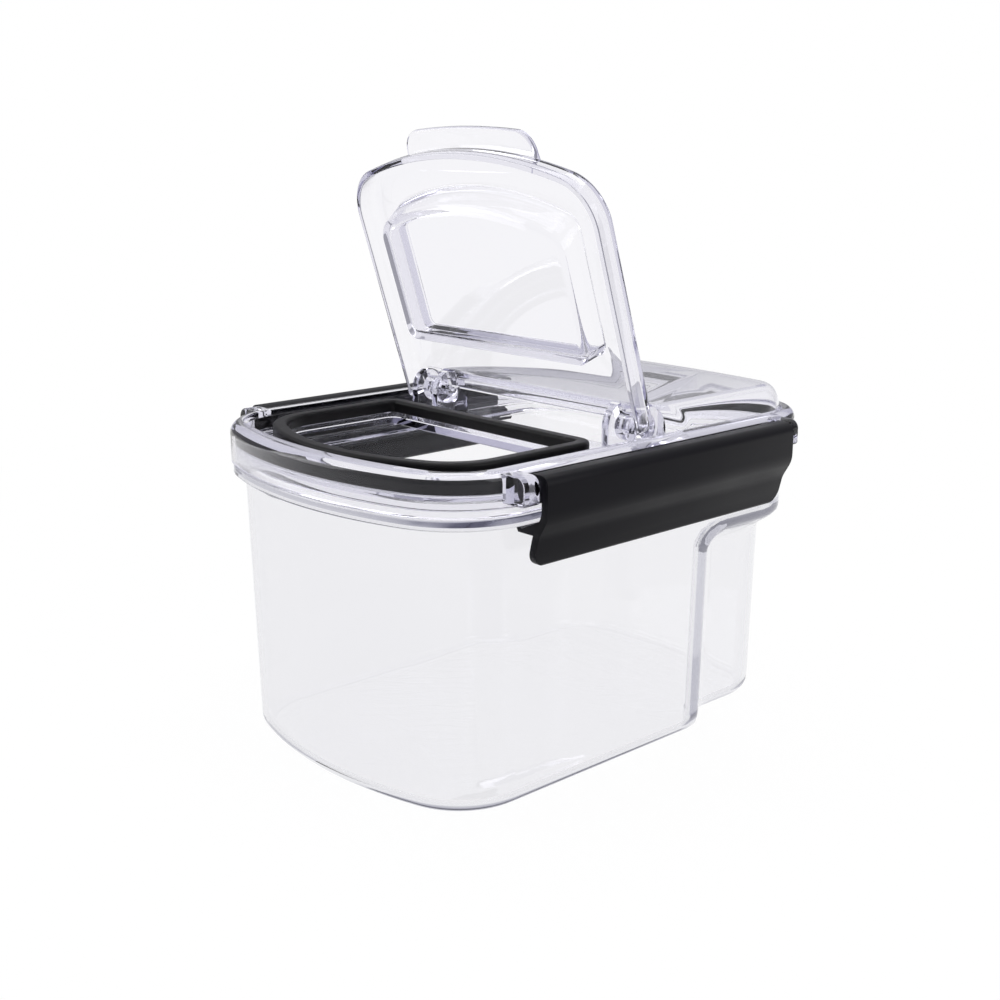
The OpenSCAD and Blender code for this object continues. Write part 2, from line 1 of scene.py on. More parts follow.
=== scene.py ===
import bpy, bmesh, math
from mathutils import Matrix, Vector


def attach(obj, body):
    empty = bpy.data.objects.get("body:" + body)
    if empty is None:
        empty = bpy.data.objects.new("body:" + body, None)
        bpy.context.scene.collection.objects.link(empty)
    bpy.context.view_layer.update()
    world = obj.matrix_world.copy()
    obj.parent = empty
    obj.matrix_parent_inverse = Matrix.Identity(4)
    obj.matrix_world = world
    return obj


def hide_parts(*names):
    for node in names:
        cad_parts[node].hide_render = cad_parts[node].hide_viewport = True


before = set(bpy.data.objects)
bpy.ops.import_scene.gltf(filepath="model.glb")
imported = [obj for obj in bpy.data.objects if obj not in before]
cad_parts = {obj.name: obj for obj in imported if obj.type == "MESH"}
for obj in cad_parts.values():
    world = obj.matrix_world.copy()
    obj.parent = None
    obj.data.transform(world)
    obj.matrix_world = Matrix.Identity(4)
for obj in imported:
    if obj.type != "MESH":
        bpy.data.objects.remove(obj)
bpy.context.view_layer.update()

# ---- Container body ----
# The tub that holds the cereal: one moulding in hard clear plastic with a faint
# lavender cast. It has a grip pressed into each side, and a collar and a neck
# round its mouth, which the latches hook under and the lid's seal sits on.
MM = 0.001
HALF_W, HALF_L = 60.5, 85.0
FRONT_R, FRONT_BOW, REAR_R, REAR_BOW = 30.0, 127.0, 25.0, 300.0
CORNER_STEPS, END_STEPS, SIDE_STEPS = 16, 10, 30
BASE, BASE_ROUND, BASE_RIM = 2.6, 5.0, 2.0
WALL, WALL_IN, DRAFT, FRONT_LEAN, REAR_LEAN = 2.2, 3.8, 1.9, 1.15, 0.8
WALL_HEIGHTS = [8, 14, 22, 30, 38, 44, 48, 51, 54, 56, 58, 59.5, 61, 62.5, 64, 65.5, 67, 68.5,
                70, 72, 75, 78, 81]
GRIP, GRIP_Y, GRIP_Z, GRIP_RUN, GRIP_DROP = 9.0, 28.0, 68.0, 15.0, 9.0
COLLAR_Z, COLLAR_TOP, COLLAR_IN, COLLAR_ROUND = 84.6, 88.0, 0.6, 0.7
COLLAR_ROOT, COVE, COVE_IN, MOUTH_Z = 3.4, 0.5, 0.15, 84.9
NECK_TOP, NECK_OUT, NECK_IN, NECK_ROUND, NECK_FOOT = 94.0, 2.2, 3.7, 0.5, 0.2
# the ways that a skin faces as it is drawn: from its foot up its outside, over its top and down its inside
DOWN, OUT, UP, IN = 270, 180, 90, 360


def arc(cx, cy, r, start, end, steps):
    """Points along an arc, its two ends included."""
    turns = [math.radians(start + (end - start) * i / steps) for i in range(steps + 1)]
    return [(cx + r * math.cos(a), cy + r * math.sin(a)) for a in turns]


def bowed_end(w, end, r, bow):
    """Half of one end, from its side to the middle: a corner arc that runs into a shallow bow."""
    cy = end - bow + math.sqrt((bow - r) ** 2 - (w - r) ** 2)
    meet = math.degrees(math.atan2(cy - end + bow, w - r))
    return arc(w - r, cy, r, 0, meet, CORNER_STEPS) + arc(0, end - bow, bow, meet, 90, END_STEPS)[1:]


def square_end(w, end, r):
    """Half of one straight end with a round corner."""
    flat = [((w - r) * (1 - i / END_STEPS), end) for i in range(1, END_STEPS + 1)]
    return arc(w - r, end - r, r, 0, 90, CORNER_STEPS) + flat


def outline(front, rear):
    """A closed outline from a front half and a rear half, counted from the front's middle."""
    front = [(x, -y) for x, y in reversed(front)]
    (side_x, low), high = front[-1], rear[0][1]
    side = [(side_x, low + (high - low) * i / SIDE_STEPS) for i in range(1, SIDE_STEPS)]
    right = front + side + rear
    return right + [(-x, y) for x, y in reversed(right[1:-1])]


def at_height(points, z):
    return [(x, y, z) for x, y in points]


def rim(inset, z):
    """The rim's outline at a height. Its front is bowed and its rear is flatter."""
    w, end = HALF_W - inset, HALF_L - inset
    front = bowed_end(w, end, FRONT_R - inset, FRONT_BOW - inset)
    rear = bowed_end(w, end, REAR_R - inset, REAR_BOW - inset)
    return at_height(outline(front, rear), z)


def press(y, z, shift):
    """How deep the grip is at a point of the wall, from 0 to 1."""
    along, down = (y - GRIP_Y + shift) / GRIP_RUN, (GRIP_Z + shift - z) / GRIP_DROP
    near = min(1, max(0, 1 - math.hypot(max(0, 1 - along), max(0, 1 - down))))
    return near * near * (3 - 2 * near)


def wall_face(inset, z, shift):
    """A drafted wall's outline at a height, drawn in where the grip is pressed."""
    back = WALL_IN + DRAFT * (1 - z / COLLAR_Z) + inset
    w = HALF_W - back
    front = bowed_end(w, HALF_L - back * FRONT_LEAN, FRONT_R - back, FRONT_BOW)
    rear = bowed_end(w, HALF_L - back * REAR_LEAN, REAR_R - back, REAR_BOW)
    return [(x * (1 - GRIP / w * press(y, z, shift)), y, z) for x, y in outline(front, rear)]


def outer_wall(inset, z):
    return wall_face(inset, z, 0)


def inner_wall(inset, z):
    return wall_face(WALL + inset, z, WALL)


def bend(ring, inset, z, r, start, end, steps):
    """Rings along an arc of a skin's section about a centre, from one way of facing to another."""
    return [ring(*point) for point in arc(inset, z, r, start, end, steps)]


def edge(ring, inset, z, r, face, steps):
    """Rings round a convex edge of a skin, given its sharp corner, from one way of facing to the next."""
    middle = math.radians(face - 45)
    centre_in = inset - math.copysign(r, math.cos(middle))
    centre_z = z - math.copysign(r, math.sin(middle))
    return bend(ring, centre_in, centre_z, r, face, face - 90, steps)


def drawn_up(name, rings, joined=False):
    """Draws a skin up from ring to ring, then closes its ends or joins the last ring to the first."""
    bpy.ops.object.select_all(action="DESELECT")
    count = len(rings[0])
    bpy.ops.mesh.primitive_circle_add(vertices=count)
    piece = bpy.context.active_object
    piece.name = piece.data.name = name
    bpy.ops.object.mode_set(mode="EDIT")
    for k, ring in enumerate(rings + rings[:1] * joined):
        if k:
            bpy.ops.mesh.extrude_edges_move()
        skin = bmesh.from_edit_mesh(piece.data)
        skin.verts.ensure_lookup_table()
        for i, point in enumerate(ring):
            skin.verts[k * count + i].co = Vector(point) * MM
        bmesh.update_edit_mesh(piece.data)
    bpy.ops.mesh.select_all(action="SELECT")
    bpy.ops.mesh.remove_doubles(threshold=1e-6)
    if not joined:
        bpy.ops.mesh.fill_holes(sides=0)
        bpy.ops.mesh.select_all(action="SELECT")
    bpy.ops.mesh.normals_make_consistent(inside=False)
    bpy.ops.object.mode_set(mode="OBJECT")
    return piece


def smoothed(piece, angle=32):
    """Shades a piece smooth, with its sharp edges kept."""
    bpy.ops.object.select_all(action="DESELECT")
    piece.select_set(True)
    bpy.context.view_layer.objects.active = piece
    bpy.ops.object.shade_smooth_by_angle(angle=math.radians(angle))
    return piece


inner_round = BASE_ROUND - WALL
body = drawn_up("clear_container_body", (
    [outer_wall(BASE_ROUND + BASE_RIM, 0)]
    + edge(outer_wall, 0, 0, BASE_ROUND, DOWN, 8)
    + [outer_wall(0, z) for z in WALL_HEIGHTS]
    + [outer_wall(0, COLLAR_Z - COVE), outer_wall(-COVE_IN, COLLAR_Z - COVE_IN)]
    + [rim(COLLAR_ROOT, COLLAR_Z)]
    + edge(rim, COLLAR_IN, COLLAR_Z, COLLAR_ROUND, DOWN, 4)
    + edge(rim, COLLAR_IN, COLLAR_TOP, COLLAR_ROUND, OUT, 4)
    + [rim(NECK_OUT - NECK_FOOT, COLLAR_TOP), rim(NECK_OUT, COLLAR_TOP + NECK_FOOT)]
    + edge(rim, NECK_OUT, NECK_TOP, NECK_ROUND, OUT, 3)
    + edge(rim, NECK_IN, NECK_TOP, NECK_ROUND, UP, 3)
    + [rim(NECK_IN, COLLAR_TOP), inner_wall(0, MOUTH_Z)]
    + [inner_wall(0, z) for z in reversed(WALL_HEIGHTS)]
    + bend(inner_wall, inner_round, BASE + inner_round, inner_round, OUT, DOWN, 6)
    + [inner_wall(inner_round + BASE_RIM, BASE)]))
smoothed(body)


def clear_plastic(name, tint, cast, depth, roughness, ripple):
    """Hard clear plastic that darkens with depth. Light caught inside it for many turns is let out."""
    material = bpy.data.materials.new(name)
    material.use_nodes = True
    tree = material.node_tree
    shader, out = tree.nodes["Principled BSDF"], tree.nodes["Material Output"]
    shader.inputs["Base Color"].default_value = (*tint, 1)
    shader.inputs["Transmission Weight"].default_value = 1
    shader.inputs["IOR"].default_value = 1.46
    shader.inputs["Specular Tint"].default_value = (0.4, 0.4, 0.42, 1)
    # the flow of the plastic leaves faint ripples, and handling leaves faint haze
    place = tree.nodes.new("ShaderNodeTexCoord")
    flow = tree.nodes.new("ShaderNodeTexNoise")
    flow.inputs["Scale"].default_value = 26
    flow.inputs["Detail"].default_value = 2
    bump = tree.nodes.new("ShaderNodeBump")
    bump.inputs["Strength"].default_value = ripple
    bump.inputs["Distance"].default_value = 0.002
    haze = tree.nodes.new("ShaderNodeTexNoise")
    haze.inputs["Scale"].default_value = 90
    haze.inputs["Detail"].default_value = 5
    spread = tree.nodes.new("ShaderNodeMapRange")
    spread.inputs["From Min"].default_value = 0.35
    spread.inputs["From Max"].default_value = 0.75
    spread.inputs["To Min"].default_value = roughness * 0.6
    spread.inputs["To Max"].default_value = roughness * 1.8
    # shadows pass straight through, and so does light on its second turn inside the wall
    passing = tree.nodes.new("ShaderNodeBsdfTransparent")
    passing.inputs["Color"].default_value = (0.97, 0.97, 0.98, 1)
    rays = tree.nodes.new("ShaderNodeLightPath")
    caught = tree.nodes.new("ShaderNodeMath")
    caught.operation = "GREATER_THAN"
    caught.inputs[1].default_value = 1.5
    either = tree.nodes.new("ShaderNodeMath")
    either.operation = "MAXIMUM"
    mix = tree.nodes.new("ShaderNodeMixShader")
    inside = tree.nodes.new("ShaderNodeVolumeAbsorption")
    inside.inputs["Color"].default_value = (*cast, 1)
    inside.inputs["Density"].default_value = depth
    link = tree.links.new
    link(place.outputs["Object"], flow.inputs["Vector"])
    link(place.outputs["Object"], haze.inputs["Vector"])
    link(flow.outputs["Fac"], bump.inputs["Height"])
    link(bump.outputs["Normal"], shader.inputs["Normal"])
    link(haze.outputs["Fac"], spread.inputs["Value"])
    link(spread.outputs["Result"], shader.inputs["Roughness"])
    link(rays.outputs["Glossy Depth"], caught.inputs[0])
    link(rays.outputs["Is Shadow Ray"], either.inputs[0])
    link(caught.outputs["Value"], either.inputs[1])
    link(either.outputs["Value"], mix.inputs["Fac"])
    link(shader.outputs["BSDF"], mix.inputs[1])
    link(passing.outputs["BSDF"], mix.inputs[2])
    link(mix.outputs["Shader"], out.inputs["Surface"])
    link(inside.outputs["Volume"], out.inputs["Volume"])
    return material


clear_tub = clear_plastic("clear_tub", tint=(0.985, 0.984, 0.988), cast=(0.45, 0.45, 0.54), depth=46,
                          roughness=0.006, ripple=0.02)
body.data.materials.append(clear_tub)
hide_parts("container_body")
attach(body, "container")

# ---- Rim gasket ----
# The black silicone ring pressed into the lid's channel, which sits on the
# container's neck. It is moulded soft, so its edges are rounded and its face is dull.
RING_OUT, RING_IN, RING_Z, RING_TOP, RING_LIP_R, RING_TOP_R = 2.0, 3.9, 94.3, 98.2, 0.5, 0.3
rim_gasket = drawn_up("rim_gasket_ring", (
    edge(rim, RING_OUT, RING_Z, RING_LIP_R, DOWN, 4)
    + edge(rim, RING_OUT, RING_TOP, RING_TOP_R, OUT, 3)
    + edge(rim, RING_IN, RING_TOP, RING_TOP_R, UP, 3)
    + edge(rim, RING_IN, RING_Z, RING_LIP_R, IN, 4)), joined=True)
smoothed(rim_gasket)


def silicone(name, colour):
    """Dull silicone with fine dust on it."""
    material = bpy.data.materials.new(name)
    material.use_nodes = True
    tree = material.node_tree
    shader = tree.nodes["Principled BSDF"]
    shader.inputs["Base Color"].default_value = (*colour, 1)
    shader.inputs["Specular IOR Level"].default_value = 0.12
    place = tree.nodes.new("ShaderNodeTexCoord")
    dust = tree.nodes.new("ShaderNodeTexNoise")
    dust.inputs["Scale"].default_value = 220
    dust.inputs["Detail"].default_value = 3
    spread = tree.nodes.new("ShaderNodeMapRange")
    spread.inputs["To Min"].default_value = 0.34
    spread.inputs["To Max"].default_value = 0.46
    bump = tree.nodes.new("ShaderNodeBump")
    bump.inputs["Strength"].default_value = 0.015
    bump.inputs["Distance"].default_value = 0.0001
    link = tree.links.new
    link(place.outputs["Object"], dust.inputs["Vector"])
    link(dust.outputs["Fac"], spread.inputs["Value"])
    link(spread.outputs["Result"], shader.inputs["Roughness"])
    link(dust.outputs["Fac"], bump.inputs["Height"])
    link(bump.outputs["Normal"], shader.inputs["Normal"])
    return material


black_silicone = silicone("black_silicone", (0.004, 0.0037, 0.0045))
rim_gasket.data.materials.append(black_silicone)
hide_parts("rim_gasket")
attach(rim_gasket, "container")

# ---- Lid ----
# A clear moulding with a round-edged rim over the neck, a sunken deck with the
# spout's neck, a raised rear deck, four lugs for the cover's hinge and an ear with
# a pivot at each corner for the latches.
RIM_Z, RIM_WALL, RIM_EDGE, CROWN_Z, CROWN_R = 88.3, 1.9, 0.3, 100.5, 3.2
CHANNEL_TOP, CHANNEL_IN, LIP_IN, LIP_Z, LIP_R = 98.35, 4.0, 5.8, 89.5, 0.4
LIP_ROOT_IN, LIP_ROOT_DROP = 0.6, 0.5
RECESS_R, DECK_UNDER, DECK_TOP, DECK, DECK_COVE = 0.5, 91.8, 93.8, 2.0, 0.8
SPOUT_OUT, SPOUT_IN, SPOUT_FOOT, SPOUT_TOP, SPOUT_R = 1.0, 3.4, 0.4, 97.6, 0.3
SPOUT_W, SPOUT_FRONT, SPOUT_FRONT_R, SPOUT_BOW, SPOUT_REAR, SPOUT_REAR_R = 47.3, 75.4, 21, 78.5, -10.4, 6
RECESS_W, RECESS_FRONT, RECESS_FRONT_R, RECESS_FRONT_BOW = 54.6, 78.4, 16.6, 150.6
RECESS_REAR, RECESS_REAR_R, RECESS_REAR_BOW = 79.2, 19.2, 294.2
PLATEAU_W, PLATEAU_FRONT, PLATEAU_FRONT_R, FRONT_STEEP, FRONT_TIGHTEN = 55, -9.6, 12, 0.2, 1.1
PLATEAU_REAR, PLATEAU_REAR_R, PLATEAU_REAR_BOW, REAR_TIGHTEN, TIGHTEST = 80.6, 20, 300, 1.9, 1
PLATEAU_Z, PLATEAU_R, BITE = 107.8, 7.6, 0.5
HINGE = Vector((0, 7.2, 101.5))
LUG_X, LUG, LUG_R, LUG_FOOT, OUTER_LUG_X, HINGE_END = 38.2, 2.8, 6.8, 93.3, 48.6, 51.4
HOLE_X, KNUCKLE, POCKET_R, PIN_R, PLAY, OVERCUT = 41.3, 7.0, 5.1, 1.7, 0.3, 1.0
FAR_BELOW, FAR_ABOVE = 80, 120
PIVOT_X, PIVOT_Z, PIVOT_R, PIVOT_L, PIVOT_ROOT = 65.0, 96.0, 1.6, 5.0, 0.7
LATCH_HALF, EAR, EAR_OUT, EAR_H, EAR_TOP_R, EAR_FOOT_R, EAR_ROOT = 52.6, 5.8, 67.4, 4.0, 3.0, 1.2, 50.0
WEB_X, WEB_H, WEB_BITE, WEB_STEPS = 75.0, 8.0, 1.0, 8


def spout(inset, z):
    """The spout's outline at a height: bowed in front and straight at its rear."""
    w = SPOUT_W - inset
    front = bowed_end(w, SPOUT_FRONT - inset, SPOUT_FRONT_R - inset, SPOUT_BOW - inset)
    rear = square_end(w, SPOUT_REAR - inset, SPOUT_REAR_R - inset)
    return at_height(outline(front, rear), z)


def recess(inset, z):
    """The outline of the hollow in the lid's top at a height."""
    w = RECESS_W - inset
    front = bowed_end(w, RECESS_FRONT - inset, RECESS_FRONT_R - inset, RECESS_FRONT_BOW - inset)
    rear = bowed_end(w, RECESS_REAR - inset, RECESS_REAR_R - inset, RECESS_REAR_BOW - inset)
    return at_height(outline(front, rear), z)


def plateau(inset, z):
    """The raised deck's outline at a height. Its corners tighten towards its top."""
    w = PLATEAU_W - inset
    front_r = max(TIGHTEST, PLATEAU_FRONT_R - FRONT_TIGHTEN * inset)
    rear_r = max(TIGHTEST, PLATEAU_REAR_R - REAR_TIGHTEN * inset)
    front = square_end(w, PLATEAU_FRONT - FRONT_STEEP * inset, front_r)
    rear = bowed_end(w, PLATEAU_REAR - inset, rear_r, PLATEAU_REAR_BOW)
    return at_height(outline(front, rear), z)


def raised_deck(inset, low):
    """Rings of the raised deck, or of the hollow under it, up to the end of its round shoulder."""
    high, r = PLATEAU_Z - inset, PLATEAU_R - inset
    shoulder = bend(plateau, inset + r, high - r, r, OUT - 9, UP, 9)
    return [plateau(inset, low), plateau(inset, high - r)] + shoulder


def rounded(piece, width, segments=3, angle=40):
    """Rounds the sharp edges of a piece."""
    mod = piece.modifiers.new("edges", "BEVEL")
    mod.width, mod.segments, mod.limit_method = width * MM, segments, "ANGLE"
    mod.angle_limit = math.radians(angle)
    bpy.context.view_layer.objects.active = piece
    bpy.ops.object.modifier_apply(modifier=mod.name)
    return piece


def box(name, low, high):
    """A block between two corners in millimetres."""
    bpy.ops.object.select_all(action="DESELECT")
    bpy.ops.mesh.primitive_cube_add(size=1)
    piece = bpy.context.active_object
    piece.name = piece.data.name = name
    piece.location = [(a + b) / 2 * MM for a, b in zip(low, high)]
    piece.scale = [(b - a) * MM for a, b in zip(low, high)]
    bpy.ops.object.transform_apply()
    return piece


def rod(name, at, along, r, length, round_end=0, sides=64):
    """A round bar that starts at a place in millimetres and runs along an axis."""
    bpy.ops.object.select_all(action="DESELECT")
    axis = Vector(along)
    bpy.ops.mesh.primitive_cylinder_add(vertices=sides, radius=r * MM, depth=length * MM,
                                        location=(Vector(at) + axis * length / 2) * MM,
                                        rotation=axis.to_track_quat("Z", "Y").to_euler())
    piece = bpy.context.active_object
    piece.name = piece.data.name = name
    bpy.ops.object.transform_apply()
    return rounded(piece, round_end) if round_end else piece


def worked(piece, operation, *tools):
    """Joins tools to a piece, or cuts it with them, and uses the tools up."""
    for tool in tools:
        mod = piece.modifiers.new("work", "BOOLEAN")
        mod.operation, mod.solver, mod.object = operation, "EXACT", tool
        bpy.context.view_layer.objects.active = piece
        bpy.ops.object.modifier_apply(modifier=mod.name)
        bpy.data.objects.remove(tool)
    return piece


def prism(name, points, low, high, width=0):
    """A plate of a plan outline between two heights."""
    piece = drawn_up(name, [at_height(points, low), at_height(points, high)])
    return rounded(piece, width) if width else piece


def rim_side(y, r, bow):
    """How far out the rim's face is at a distance from its middle, near a corner."""
    corner_y = HALF_L - bow + math.sqrt((bow - r) ** 2 - (HALF_W - r) ** 2)
    return HALF_W if y <= corner_y else HALF_W - r + math.sqrt(r * r - (y - corner_y) ** 2)


lid = drawn_up("clear_lid", (
    [rim(RIM_WALL - RIM_EDGE, RIM_Z), rim(RIM_EDGE, RIM_Z), rim(0, RIM_Z + RIM_EDGE)]
    + edge(rim, 0, CROWN_Z, CROWN_R, OUT, 10)
    + edge(recess, 0, CROWN_Z, RECESS_R, UP, 4)
    + [recess(0, DECK_TOP + DECK_COVE)]
    + bend(recess, DECK_COVE, DECK_TOP + DECK_COVE, DECK_COVE, OUT + 15, DOWN, 4)
    + [spout(SPOUT_OUT - SPOUT_FOOT, DECK_TOP), spout(SPOUT_OUT, DECK_TOP + SPOUT_FOOT)]
    + edge(spout, SPOUT_OUT, SPOUT_TOP, SPOUT_R, OUT, 3)
    + edge(spout, SPOUT_IN, SPOUT_TOP, SPOUT_R, UP, 3)
    + [spout(SPOUT_IN, DECK_UNDER + SPOUT_FOOT), spout(SPOUT_IN - SPOUT_FOOT, DECK_UNDER)]
    + [rim(LIP_IN + LIP_ROOT_IN, DECK_UNDER), rim(LIP_IN, DECK_UNDER - LIP_ROOT_DROP)]
    + edge(rim, LIP_IN, LIP_Z, LIP_R, IN, 3)
    + edge(rim, CHANNEL_IN, LIP_Z, LIP_R, DOWN, 3)
    + [rim(CHANNEL_IN, CHANNEL_TOP), rim(RIM_WALL, CHANNEL_TOP), rim(RIM_WALL, RIM_Z + RIM_EDGE)]),
    joined=True)

# the hollow under the raised deck keeps clear of the lugs' pockets, which are cut last
hollow = drawn_up("hollow", raised_deck(DECK, DECK_UNDER - BITE))
lug_face = arc(HINGE.y, HINGE.z, LUG_R, 0, 180, 28)
lug_face += [(HINGE.y - LUG_R, LUG_FOOT), (HINGE.y + LUG_R, LUG_FOOT)]
lugs, pockets = [], []
for side in (-1, 1):
    low, high = sorted((side * LUG_X, side * HINGE_END))
    block = box("block", (low, HINGE.y, FAR_BELOW), (high, HINGE.y + POCKET_R + DECK, FAR_ABOVE))
    worked(hollow, "DIFFERENCE", block)
    for x in (LUG_X, OUTER_LUG_X):
        near = min(side * x, side * (x + LUG))
        lug = drawn_up("lug", [[(near + t, y, z) for y, z in lug_face] for t in (0, LUG)])
        lugs.append(rounded(lug, 0.35))
    start, width = min(side * (HOLE_X - PLAY), side * (HOLE_X + KNUCKLE + PLAY)), KNUCKLE + 2 * PLAY
    pockets.append(rod("pocket", (start, HINGE.y, HINGE.z), (1, 0, 0), POCKET_R, width))
    pockets.append(box("pocket", (start, HINGE.y - POCKET_R, HINGE.z),
                       (start + width, HINGE.y + POCKET_R, FAR_ABOVE)))
    start = min(side * (LUG_X - OVERCUT), side * (HINGE_END + OVERCUT))
    pockets.append(rod("bore", (start, HINGE.y, HINGE.z), (1, 0, 0), PIN_R,
                       HINGE_END - LUG_X + 2 * OVERCUT))
worked(lid, "UNION", drawn_up("deck", raised_deck(0, DECK_UNDER + BITE)))
worked(lid, "DIFFERENCE", hollow)

# each ear is cut to the rim's curve by a web that bites into the rim
ear_start = LATCH_HALF + PLAY
ear_section = (arc(EAR_OUT - EAR_FOOT_R, EAR_FOOT_R - EAR_H, EAR_FOOT_R, -90, 0, 6)
               + arc(EAR_OUT - EAR_TOP_R, EAR_H - EAR_TOP_R, EAR_TOP_R, 0, 90, 12)
               + [(EAR_ROOT, EAR_H), (EAR_ROOT, -EAR_H)])
ears = []
for side in (-1, 1):
    for end, r, bow in ((-1, FRONT_R, FRONT_BOW), (1, REAR_R, REAR_BOW)):
        ear = drawn_up("ear", [[(side * x, end * y, PIVOT_Z + z) for x, z in ear_section]
                               for y in (ear_start, ear_start + EAR)])
        rounded(ear, 0.4)
        near, far = ear_start - WEB_BITE, ear_start + EAR + WEB_BITE
        web = [(side * WEB_X, end * near), (side * WEB_X, end * far)]
        for k in range(WEB_STEPS, -1, -1):
            x = rim_side(ear_start + EAR * k / WEB_STEPS, r, bow) - WEB_BITE
            web.append((side * x, end * (near + (far - near) * k / WEB_STEPS)))
        worked(ear, "INTERSECT", prism("web", web, PIVOT_Z - WEB_H, PIVOT_Z + WEB_H))
        pivot = rod("pivot", (side * PIVOT_X, end * (ear_start + PIVOT_ROOT), PIVOT_Z), (0, -end, 0),
                    PIVOT_R, PIVOT_L + PIVOT_ROOT, round_end=0.3, sides=48)
        ears += [ear, pivot]
worked(lid, "UNION", *lugs, *ears)
worked(lid, "DIFFERENCE", *pockets)
smoothed(lid)
clear_cap = clear_plastic("clear_cap", tint=(0.975, 0.973, 0.985), cast=(0.42, 0.40, 0.60), depth=38,
                          roughness=0.004, ripple=0.012)
lid.data.materials.append(clear_cap)
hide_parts("lid")
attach(lid, "container")

# ---- Spout gasket ----
# A wide black silicone ring that caps the spout's neck, with a short skirt inside
# it. The cover's underside shuts on its flat top.
SEAL, SEAL_TOP, SEAL_FOOT, SEAL_R, SEAL_FOOT_R = 4.4, 100.2, 96.3, 1.1, 0.3
SEAL_WALL, SEAL_LIP_Z, SEAL_LIP_EDGE = 0.9, 96.7, 0.2
spout_gasket = drawn_up("spout_gasket_ring", (
    [spout(SEAL_WALL, SEAL_LIP_Z), spout(SEAL_LIP_EDGE, SEAL_LIP_Z), spout(0, SEAL_LIP_Z + SEAL_LIP_EDGE)]
    + edge(spout, 0, SEAL_TOP, SEAL_R, OUT, 7)
    + edge(spout, SEAL, SEAL_TOP, SEAL_R, UP, 7)
    + edge(spout, SEAL, SEAL_FOOT, SEAL_FOOT_R, IN, 3)
    + [spout(SEAL - SEAL_WALL, SEAL_FOOT), spout(SEAL - SEAL_WALL, SPOUT_TOP)]
    + [spout(SEAL_WALL, SPOUT_TOP)]),
    joined=True)
smoothed(spout_gasket)
spout_gasket.data.materials.append(black_silicone)
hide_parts("spout_gasket")
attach(spout_gasket, "container")

# ---- Hinge pins ----
# Two short clear plastic pins, pressed through the lugs, that the cover turns on.
# Their ends are rounded so that they start into the bores.
PIN_SHORT = 0.4
pin_plastic = clear_plastic("pin_plastic", tint=(0.95, 0.95, 0.98), cast=(0.45, 0.44, 0.6), depth=40,
                            roughness=0.02, ripple=0.01)
for name, side in (("left", -1), ("right", 1)):
    start = min(side * (LUG_X + PIN_SHORT), side * (HINGE_END - PIN_SHORT))
    pin = rod(f"hinge_pin_{name}_clear", (start, HINGE.y, HINGE.z), (1, 0, 0), PIN_R,
              HINGE_END - LUG_X - 2 * PIN_SHORT, round_end=0.3, sides=48)
    smoothed(pin)
    pin.data.materials.append(pin_plastic)
    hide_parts(f"hinge_pin_{name}")
    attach(pin, "container")

# ---- Flip cover ----
# The clear cover of the spout: a plate with a rolled edge and a skirt, a sunken
# pan that plugs the spout, a finger tab at its front, and two arms with knuckles
# at its tail. It is moulded in one, and stands open on the hinge pins.
OPEN, UNDER, TOP, LIP = 72.2, -1.0, 1.5, -6.7
COVER_W, COVER_FRONT, COVER_FRONT_R, COVER_BOW, COVER_TAIL, COVER_TAIL_R = 54, 85, 16, 150, 1, 0.8
COVER_ROUND, COVER_FLATTEN, SKIRT, SKIRT_R, SKIRT_RIB, SKIRT_TAIL = 4.6, 0.7, 1.8, 0.4, 0.9, -1.0
PLUG, LEAN, PLUG_R, PLUG_FLAT, PLUG_COVE = 8.6, 4.0, 1.2, 3.2, 0.8
PAN_W, PAN_FRONT, PAN_FRONT_R, PAN_BOW, PAN_REAR, PAN_REAR_R = 41, 73.4, 7, 108, -22.7, 4
PAN_FLOOR, PAN_IN, PAN_R, PAN_BEAD, PAN_FLAT = 2.5, 1.85, 1.6, 0.6, 3.9
TAB_W, TAB_L, TAB_CORNER, TAB_BOW, TAB_ROOT, TAB_FLARE = 28.5, 90.8, 7, 250, 77.0, 1.0
TAB_UNDER, TAB_DROP = 2.0, 0.04
KNUCKLE_R, BORE_PLAY, NOTCH, TAIL = 4.6, 0.06, LUG_R + PLAY, 2.0


def cover_plan(inset, z, tail=COVER_TAIL):
    """The cover's outline at a height, in its own frame with the hinge line at its tail."""
    w = COVER_W - inset
    front = bowed_end(w, COVER_FRONT - inset, COVER_FRONT_R - inset, COVER_BOW - inset)
    return at_height(outline(front, square_end(w, tail, COVER_TAIL_R)), z)


def sunken(inset, z, top):
    """The sunken part's outline at a height. Its front leans back with its depth under its top."""
    w, lean = PAN_W - inset, LEAN * min(1, max(0, (top - z) / PLUG))
    front = bowed_end(w, PAN_FRONT - inset - lean, PAN_FRONT_R - inset, PAN_BOW - inset)
    rear = square_end(w, PAN_REAR - inset, PAN_REAR_R - inset)
    return at_height(outline(front, rear), z)


def plug(inset, z):
    return sunken(inset, z, UNDER)


def pan(inset, z):
    return sunken(inset, z, TOP)


